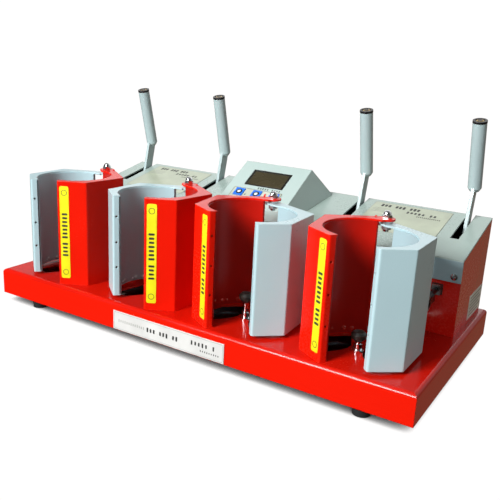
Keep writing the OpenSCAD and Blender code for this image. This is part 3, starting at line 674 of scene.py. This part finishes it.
place("lcd_field", sheet_of([oblong(0.0505, 0.0255, 0.0006)], -0.0006, -0.00015, 0.00005),
      on_face(0, 0.0311, 0), lcd_film, "base")
place("keypad_border", frame_of(0.0705, 0.0190, 0.001, 0.0004, 0.0004, 0.0006),
      on_face(-0.00265, 0.0631), ink, "base")
place("face_print", sheet_of(ticks(10, 0.0014, 0.0034, 0.0034, (0, 0), 6), -0.0001, 0.00012),
      on_face(0.011, 0.0499), ink, "base")
ring = [(0, -0.0002), (0.0044, -0.0002), (0.0044, 0.0001), (0.0042, 0.00022), (0, 0.00022)]
dot = [(0, 0.0001), (0.0024, 0.0001), (0.0024, 0.0003), (0.0022, 0.00042), (0, 0.00046)]
arrow = [(0.0, 0.0016), (-0.0014, -0.0012), (0.0014, -0.0012)]
for key in ("down", "up", "start"):
    low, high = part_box(f"button_{key}")
    x = (low.x + high.x) / 2
    middle = on_face(x, key_row, key_top)
    place(f"key_ring_{key}", lathe(ring), middle, key_black, f"key_{key}")
    place(f"key_dot_{key}", lathe(dot), middle, key_white, f"key_{key}")
    if key != "start":
        place(f"key_mark_{key}", sheet_of([arrow], 0.0004, 0.0006), on_face(x + 0.0098, 0.0648),
              ink, "base")
lamp = lathe([(0, 0), (0.0015, 0), (0.0015, 0.0006), (0.0012, 0.0011), (0.0006, 0.00135), (0, 0.0014)])
place("keypad_lamp", lamp, on_face(0.0111, 0.0604, 0.0004), lamp_red, "base")

# brass rings of the grip caps, which lean forward with the grips
lean = math.radians(14.8)
way = Vector((0, -math.sin(lean), math.cos(lean)))
for i in (1, 2, 3, 4):
    low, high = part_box(f"grip_cap_{i}")
    centre = (low + high) / 2
    cap = lathe([(0.0030, -0.0004), (0.0046, -0.0004), (0.0048, 0.0001), (0.0042, 0.0006), (0.0028, 0.0008),
                 (0.0026, 0.0004), (0.0030, -0.0004)])
    place(f"grip_ring_{i}", cap, basis(centre + way * 0.0004, (1, 0, 0), way), brass,
          f"hand_lever_{i}")

# leads of the moving heater mats: from the closed shell to the housing, in mm from the hinge
shell_end = [(34.3, -13.5, 22), (38, -8.6, 22), (41, -4.3, 22.5)]
housing_end = [(42, 9, 24), (42, 17, 28), (41.5, 26, 33), (41, 35, 36.5), (41, 44, 38), (41, 53, 37.5),
               (41, 64, 35)]
for i in (1, 2, 3, 4):
    opened = swing[i]
    points = [at_station(i, *p, opened) for p in shell_end] + [at_station(i, *p) for p in housing_end]
    points[0] += (points[0] - points[1]).normalized() * 1.4 * MM
    lead = place(f"shell_lead_{i}", tube(along(points, 5), 2 * MM), Matrix.Identity(4), cable, None)
    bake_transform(lead)
    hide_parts("shell_leads")

# weld spots at the foot of the inner walls, as (angle from the front, height, radius); they are painted
# lighter than the wall round them, a painted glint
wall_r = 41.9
weld_gray_glint = painted("weld_gray_glint", (0.62, 0.76, 0.78), 0.22, coat=0.5)
weld_red_glint = painted("weld_red_glint", (0.60, 0.03, 0.015), 0.22, coat=0.5, shine=0.6)
spots = ((66, 8.5, 1.4), (72, 9.5, 1.7), (92, 8.0, 1.6), (98, 9.0, 2.3), (112, 8.0, 2.4), (121, 7.5, 1.8),
         (140, 7.5, 2.6), (152, 7.0, 2.6))
for i in (1, 2, 3, 4):
    for half, body, finish, turn in (("fixed", "base", weld_red_glint, 0.0),
                                     ("moving", f"clamp_{i}", weld_gray_glint, swing[i])):
        flip = 1 if half == "moving" else -1
        bm = bmesh.new()
        for arc, high, r in spots:
            a = math.radians(arc)
            foot = at_station(i, flip * wall_r * math.sin(a), clamp_y - wall_r * math.cos(a), high, turn)
            inward = (at_station(i, 0, clamp_y, high, turn) - foot).normalized()
            r *= MM
            shape = lathe([(r, -0.0003), (r * 0.95, 0.0004), (r * 0.55, 0.0010), (0, 0.0012)], 16)
            shape.transform(basis(foot, (0, 0, 1), inward))
            bm.from_mesh(shape)
        mesh = bpy.data.meshes.new("welds")
        bm.to_mesh(mesh)
        bm.free()
        place(f"welds_{half}_{i}", smooth(mesh, 40), Matrix.Identity(4), finish, body)

# ---------------------------------------------------------------- floor and backdrop
def only_seen(obj):
    """The object shows to the camera, casts no shadow and sends no light back to the model."""
    obj.visible_diffuse = obj.visible_glossy = obj.visible_transmission = False
    obj.visible_shadow = False
    obj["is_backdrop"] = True


mesh = bpy.data.meshes.new("floor")
mesh.from_pydata([(-8, -8, 0), (8, -8, 0), (8, 8, 0), (-8, 8, 0)], [], [(0, 1, 2, 3)])
floor = bpy.data.objects.new("floor", mesh)
bpy.context.scene.collection.objects.link(floor)
# the floor glows white and takes no lamp light; its contact shadow is painted into the glow from ambient
# occlusion
s = Surface("floor_white_painted_shadow", Base_Color=(0, 0, 0, 1), Roughness=1.0, Specular_IOR_Level=0.0)
painted_floor_shadow = s.node("ShaderNodeAmbientOcclusion", {"samples": 16}, Distance=0.07).outputs["AO"]
painted_floor_shadow = s.calc("ADD", painted_floor_shadow, s.remap(s.noise(4.0, 2.0), 0.3, 0.7, -0.004, 0.004))
s.set(Emission_Color=(1.0, 0.985, 0.98), Emission_Strength=s.remap(painted_floor_shadow, 0.08, 0.41, 0.04, 1.04))
mesh.materials.append(s.material)
only_seen(floor)

bm = bmesh.new()
bmesh.ops.create_uvsphere(bm, u_segments=48, v_segments=24, radius=7.5)
mesh = bpy.data.meshes.new("backdrop")
bm.to_mesh(mesh)
bm.free()
backdrop = bpy.data.objects.new("backdrop", mesh)
bpy.context.scene.collection.objects.link(backdrop)
s = Surface("backdrop_white", Base_Color=(0, 0, 0, 1), Roughness=1.0, Specular_IOR_Level=0.0,
            Emission_Color=(1.0, 1.0, 1.0, 1), Emission_Strength=1.05)
mesh.materials.append(s.material)
only_seen(backdrop)

low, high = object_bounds()
